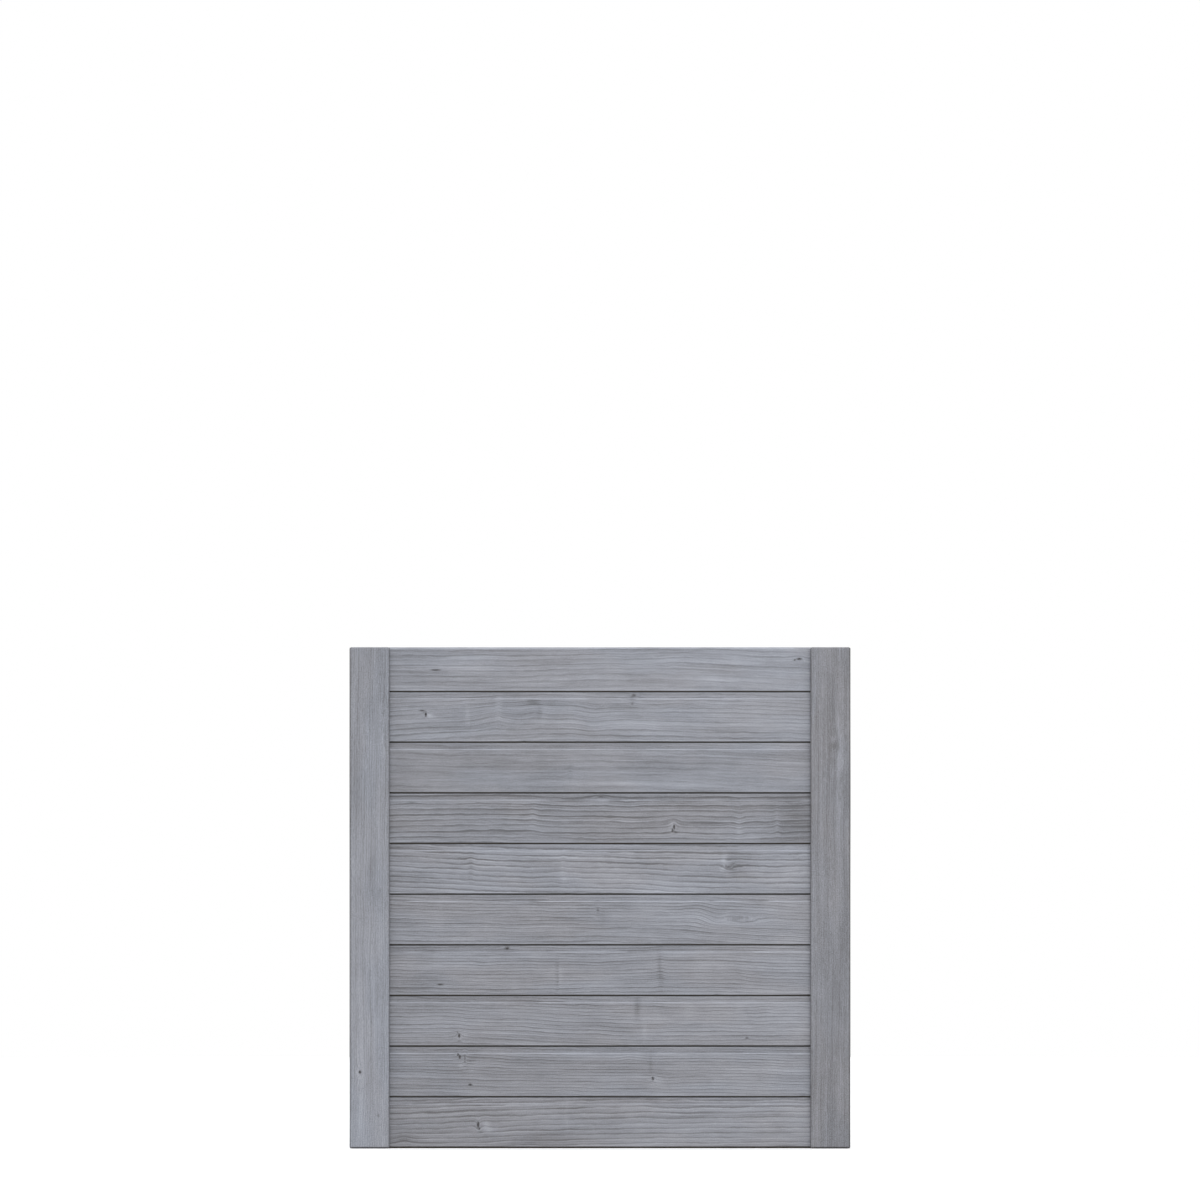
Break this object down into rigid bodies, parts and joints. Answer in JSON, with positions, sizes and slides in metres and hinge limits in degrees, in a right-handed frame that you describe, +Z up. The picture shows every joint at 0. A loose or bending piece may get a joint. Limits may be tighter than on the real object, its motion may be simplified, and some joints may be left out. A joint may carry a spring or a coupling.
{
  "type": "privacy fence panel",
  "caption": "Solid timber privacy fence panel: horizontal tongue-and-groove boards with shadow grooves, held in the grooves of two upright stiles and screwed from the back.",
  "frame": {"origin": "middle of the panel's underside, at half its width and half its thickness", "axes": "+X along the boards, to the right as seen from the front; +Y from the front face to the back, where the screws are; +Z up"},
  "size_m": [0.9, 0.042, 0.9],
  "materials": {
    "stile_wood": "matte",
    "board_wood": "matte",
    "screw_steel": "satin"
  },
  "bodies": {
    "root": {"left_stile": "stile_wood", "right_stile": "stile_wood", "board_01": "board_wood", "board_02": "board_wood", "board_03": "board_wood", "board_04": "board_wood", "board_05": "board_wood", "board_06": "board_wood", "board_07": "board_wood", "board_08": "board_wood", "board_09": "board_wood", "board_10": "board_wood", "left_screws": "screw_steel", "right_screws": "screw_steel"}
  },
  "joints": []
}
